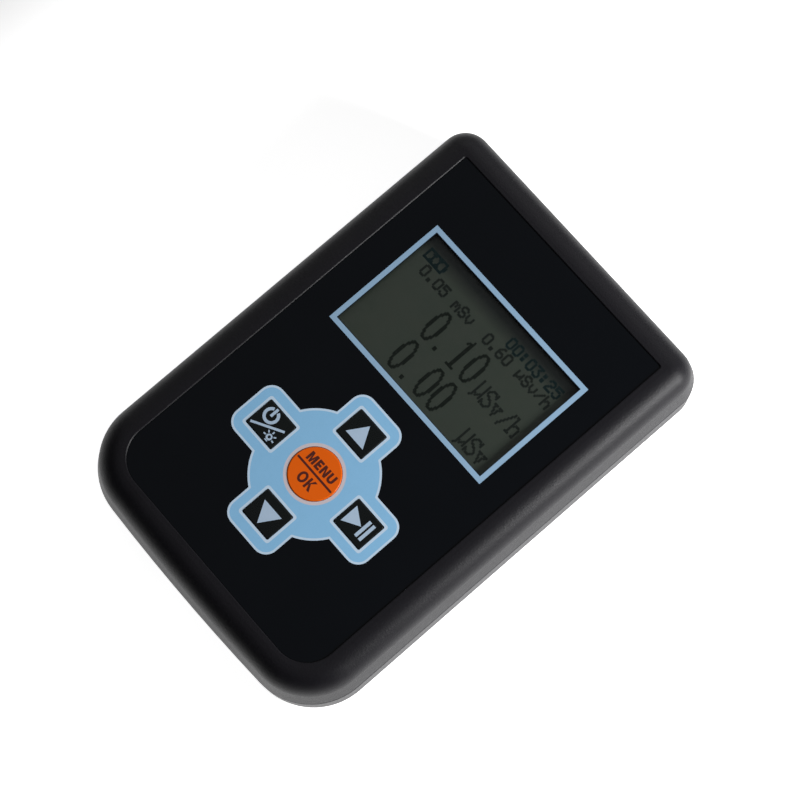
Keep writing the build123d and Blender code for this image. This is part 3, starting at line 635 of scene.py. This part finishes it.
def capital(letter, h):
    """Width and outlines of a bold plain capital of height h, from its lower left corner."""
    s = CAP_STROKE
    if letter == "M":
        w = 2.25
        left = [(0, 0), (0, h), (1.3 * s, h), (w / 2, 0.36 * h)]
        right = [(w - 1.3 * s, h), (w, h), (w, 0), (w - s, 0), (w - s, 0.72 * h)]
        return w, [left + right + [(w / 2 + 0.36 * s, 0), (w / 2 - 0.36 * s, 0), (s, 0.72 * h), (s, 0)]]
    if letter == "E":
        w = 1.42
        upper = [(0, 0), (0, h), (w, h), (w, h - s), (s, h - s), (s, (h + s) / 2), (0.93 * w, (h + s) / 2)]
        return w, [upper + [(0.93 * w, (h - s) / 2), (s, (h - s) / 2), (s, s), (w, s), (w, 0)]]
    if letter == "N":
        w = 1.88
        left = [(0, 0), (0, h), (1.15 * s, h), (w - s, 0.30 * h), (w - s, h), (w, h), (w, 0)]
        return w, [left + [(w - 1.15 * s, 0), (s, 0.70 * h), (s, 0)]]
    if letter == "U":
        w = 1.80
        outer = [(0, h)] + arc(w / 2, w / 2, w / 2, 180, 360) + [(w, h)]
        return w, [outer + [(w - s, h)] + arc(w / 2, w / 2, w / 2 - s, 360, 180) + [(s, h)]]
    if letter == "O":
        w = 2.22
        return w, [oval(w, h, 0), oval(w, h, s)]
    w = 2.02
    upper = [(0, 0), (0, h), (s, h), (s, 0.52 * h), (w - 1.35 * s, h), (w - 0.04, h), (0.47 * w, 0.60 * h)]
    return w, [upper + [(w, 0), (w - 1.28 * s, 0), (0.33 * w, 0.46 * h), (s, 0.31 * h), (s, 0)]]


def lettering(name, words, x, y, height):
    """Bold plain capitals on the menu key, centred at a place in millimetres from its centre."""
    shapes = [capital(letter, height) for letter in words]
    length = sum(width for width, _ in shapes) + LETTER_GAP * (len(words) - 1)
    start = x - length / 2
    loops = []
    for width, outlines in shapes:
        loops += [[(start + a, y - height / 2 + b) for a, b in outline] for outline in outlines]
        start += width + LETTER_GAP
    key_sign("menu_ok", name, loops, LETTER_INK)


lettering("sign_menu", "MENU", 0.08, 2.05, 2.34)
lettering("sign_ok", "OK", 0.0, -2.38, 2.74)
key_sign("menu_ok", "sign_line", [bar(-5.60, -0.02, 5.60, -0.02, 0.50)], LETTER_INK)


# ---- display dots ----------------------------------------------------------------------------------

# Pitch of the dots in mm, and the upper left corner of their grid.
DOT_X = 0.360
DOT_Y = 0.408
SCREEN_LEFT = middle("display_window")[0] / MM - 23.50
SCREEN_TOP = middle("display_window")[1] / MM + 11.95
SMALL_ADVANCE = 6
SMALL = {
    "0": "01110 10001 10001 10001 10001 10001 01110",
    "2": "01110 10001 00001 00110 01000 10000 11111",
    "3": "11111 00010 00100 00010 00001 10001 01110",
    "5": "11111 10000 11110 00001 00001 10001 01110",
    "6": "00110 01000 10000 11110 10001 10001 01110",
    ":": "00000 01100 01100 00000 01100 01100 00000",
    ".": "00000 00000 00000 00000 00000 01100 01100",
    "m": "00000 00000 11010 10101 10101 10001 10001",
    "S": "01110 10001 10000 01110 00001 10001 01110",
    "v": "00000 00000 10001 10001 10001 01010 00100",
    "u": "00000 00000 10001 10001 10011 11101 10000",
    "/": "00000 00001 00010 00100 01000 10000 00000",
    "h": "10000 10000 10110 11001 10001 10001 10001",
    " ": "00000",
}
SERIF_ADVANCE = 8
SERIF = {
    "u": "0100001 0100001 0100001 0100001 0100001 0100001 0100001 0100011 0110101 0101001 0100000 1000000",
    "S": "0011101 0100011 1000001 1000000 0110000 0001100 0000010 0000001 1000001 1100010 1011100",
    "v": "0 0 0 0 1110111 0100010 0100100 0010100 0010100 0001000 0001000",
    "/": "0000001 0000001 0000010 0000010 0000100 0000100 0001000 0001000 0010000 0010000 0100000 0100000",
    "h": "1100000 0100000 0100000 0100000 0101110 0110001 0100001 0100001 0100001 0100001 1110011",
}
# Sizes and places of the tall figures, and rows of the screen's lines, in dots.
DIGIT_WIDTH = 10
DIGIT_HEIGHT = 20
DIGIT_COLUMNS = (38, 62, 74)
POINT_COLUMN = 52
HEADER_ROW = 0
READING_ROW = 8
RATE_ROW = 18
DOSE_ROW = 42


def glyph_dots(rows, column, row):
    """Lit dots of a glyph given as rows of ones and zeros."""
    lit = set()
    for down, line in enumerate(rows.split()):
        for across, mark in enumerate(line):
            if mark == "1":
                lit.add((column + across, row + down))
    return lit


def text_dots(words, column, row, font, advance):
    """Lit dots of a line of text."""
    lit = set()
    for index, letter in enumerate(words):
        lit |= glyph_dots(font[letter], column + index * advance, row)
    return lit


def large_zero(column, row):
    """A tall oval nought with a heavy side and a light top, as dots."""
    lit = set()
    for across in range(DIGIT_WIDTH):
        for down in range(DIGIT_HEIGHT):
            x = (across + 0.5 - DIGIT_WIDTH / 2) / (DIGIT_WIDTH / 2)
            y = (down + 0.5 - DIGIT_HEIGHT / 2) / (DIGIT_HEIGHT / 2)
            outside = x * x + y * y > 1.0
            inside = (x / 0.66) ** 2 + (y / 0.93) ** 2 < 1.0
            if not outside and not inside:
                lit.add((column + across, row + down))
    return lit


def large_one(column, row):
    """A tall figure one with a flag and a foot."""
    lit = {(column + 5, row + down) for down in range(DIGIT_HEIGHT)}
    lit |= {(column + 4, row + down) for down in range(2, DIGIT_HEIGHT)}
    lit |= {(column + 3, row + 2), (column + 2, row + 3)}
    return lit | {(column + across, row + DIGIT_HEIGHT - 1) for across in range(2, 8)}


def large_number(figures, row):
    """Three tall figures, each given as the function that draws it, and the point after the first one."""
    lit = {(POINT_COLUMN + a, row + DIGIT_HEIGHT - b) for a in (0, 1) for b in (1, 2)}
    for column, figure in zip(DIGIT_COLUMNS, figures):
        lit |= figure(column, row)
    return lit


def battery_dots(column, row):
    """Battery sign: three open cells in a row and a small pole."""
    lit = {(column + a, row + b) for a in range(16) for b in (0, 6)}
    lit |= {(column + a, row + b) for a in (0, 5, 10, 15) for b in range(7)}
    lit |= {(column + a, row + b) for a in (4, 6, 9, 11) for b in (1, 5)}
    return lit | {(column + 16, row + b) for b in (2, 3, 4)}


def dots(name, lit, dot_ink):
    """Lit dots on the display's face: one thin closed mesh, in which neighbouring dots run together."""
    cells = {(2 * column + a, 2 * row + b) for column, row in lit for a in range(3) for b in range(3)}
    glass_z = top("display_glass")
    levels = (glass_z, glass_z + DOT_THICKNESS)
    numbers = {}
    vertices = []
    faces = []

    def corner(across, down, level):
        """Number of the vertex at a corner of the half-dot grid."""
        if (across, down, level) not in numbers:
            numbers[across, down, level] = len(vertices)
            x = SCREEN_LEFT + (across - 0.5) * DOT_X / 2
            y = SCREEN_TOP - (down - 0.5) * DOT_Y / 2
            vertices.append((x * MM, y * MM, levels[level]))
        return numbers[across, down, level]

    for a, b in sorted(cells):
        loop = [(a, b + 1), (a + 1, b + 1), (a + 1, b), (a, b)]
        faces.append([corner(*spot, 1) for spot in loop])
        faces.append([corner(*spot, 0) for spot in reversed(loop)])
        beside = ((a, b + 1), (a + 1, b), (a, b - 1), (a - 1, b))
        for index, neighbour in enumerate(beside):
            if neighbour not in cells:
                start = loop[index]
                stop = loop[(index + 1) % 4]
                faces.append([corner(*start, 0), corner(*stop, 0), corner(*stop, 1), corner(*start, 1)])
    mesh = bpy.data.meshes.new(name)
    mesh.from_pydata(vertices, [], faces)
    placed(name, mesh, dot_ink, "case")


header = battery_dots(3, HEADER_ROW) | text_dots("00:03:25", 80, HEADER_ROW, SMALL, SMALL_ADVANCE)
readings = text_dots("0.05 mSv", 9, READING_ROW, SMALL, SMALL_ADVANCE)
readings |= text_dots("0.60 uSv/h", 68, READING_ROW, SMALL, SMALL_ADVANCE)
units = text_dots("uSv/h", 88, RATE_ROW + 10, SERIF, SERIF_ADVANCE)
units |= text_dots("uSv", 104, DOSE_ROW + 10, SERIF, SERIF_ADVANCE)
rate = large_number((large_zero, large_one, large_zero), RATE_ROW)
dose = large_number((large_zero, large_zero, large_zero), DOSE_ROW)
dots("display_header_dots", header, BLUE_PIXEL_INK)
dots("display_reading_dots", readings | units, PIXEL_INK)
dots("display_figure_dots", rate | dose, FIGURE_INK)


# ---- floor, lights and camera ------------------------------------------------------------------------

LIGHT_SIDE = (-0.57, 0.82, 0.0)
SHADE_SIDE = (0.57, -0.82, 0.0)
FLOOR_HALF = 3.0
GLOW_FULL = 0.122
GLOW_END = 0.170


def floor():
    """Plain pale sheet that glows round the meter, a little more on the side away from the light: painted
    light that fills in the meter's cast shadow.
    """
    mesh = bpy.data.meshes.new("floor")
    signs = ((-1, -1), (1, -1), (1, 1), (-1, 1))
    corners = [(a * FLOOR_HALF, b * FLOOR_HALF, 0) for a, b in signs]
    mesh.from_pydata(corners, [], [(0, 1, 2, 3)])
    sheet = bpy.data.objects.new("floor", mesh)
    bpy.context.scene.collection.objects.link(sheet)
    g = Graph("floor_paper")
    g.colour(g.blend(g.noise(40.0, 3.0), (0.90, 0.90, 0.90), (0.93, 0.93, 0.93)))
    distance = g.node("ShaderNodeVectorMath", operation="LENGTH")
    g.link(g.place, distance.inputs[0])
    # Painted light: the floor's glow is strongest on the shaded side, where it lifts the meter's cast
    # shadow.
    glow = g.remap(g.along(g.place, SHADE_SIDE), -0.08, 0.05, 0.76, 0.95)
    near = g.remap(distance.outputs["Value"], GLOW_FULL, GLOW_END, 1.0, 0.05)
    g.link(g.math("MULTIPLY", glow, near), g.shader.inputs["Emission Strength"])
    g.set(Roughness=0.9)
    mesh.materials.append(g.material)


def softbox(name, place, aim, size, watts):
    """A soft square light that faces a point."""
    light = bpy.data.lights.new(name, "AREA")
    light.shape = "SQUARE"
    light.size = size
    light.energy = watts
    lamp_object = bpy.data.objects.new(name, light)
    lamp_object.location = place
    direction = Vector(aim) - Vector(place)
    lamp_object.rotation_euler = direction.to_track_quat("-Z", "Y").to_euler()
    bpy.context.scene.collection.objects.link(lamp_object)


def studio_sky():
    """A broad bright wall past the display end's left, a faint ceiling and a faint haze low down.

    Height runs from -1 straight down to 1 straight up.
    """
    world = bpy.data.worlds.new("studio")
    bpy.context.scene.world = world
    world.use_nodes = True
    g = Nodes(world.node_tree)
    direction = g.node("ShaderNodeTexCoord").outputs["Generated"]
    height = g.part(direction, 2)
    side = g.remap(g.along(direction, LIGHT_SIDE), 0.42, 0.66, 0.0, 1.3)
    wall = g.math("MULTIPLY", side, g.remap(height, 0.15, 0.40, 0.0, 1.0))
    ceiling = g.remap(height, 0.70, 0.93, 0.0, 0.24)
    haze = g.remap(height, 0.05, 0.20, 0.12, 0.0)
    sky = g.node("ShaderNodeBackground")
    out = g.node("ShaderNodeOutputWorld")
    g.link(g.math("ADD", g.math("ADD", wall, ceiling), haze), sky.inputs["Strength"])
    g.link(sky.outputs[0], out.inputs["Surface"])


def camera():
    """Long lens above the keypad end's right side, rolled so that the meter lies aslant."""
    data = bpy.data.cameras.new("camera")
    data.lens = 97.64
    data.sensor_width = 36.0
    data.clip_start = 0.01
    data.shift_x = -0.000625
    data.shift_y = 0.000625
    body = bpy.data.objects.new("camera", data)
    body.location = (0.08755, -0.05460, 0.49276)
    body.rotation_euler = Euler([math.radians(a) for a in (12.5122, 1.5800, 49.0078)])
    bpy.context.scene.collection.objects.link(body)
    bpy.context.scene.camera = body


floor()
studio_sky()
softbox("corner_light", (0.31, 0.15, 0.17), (0.02, 0.02, 0.02), 0.12, 1.8)
camera()
bpy.context.scene.view_settings.view_transform = "Standard"
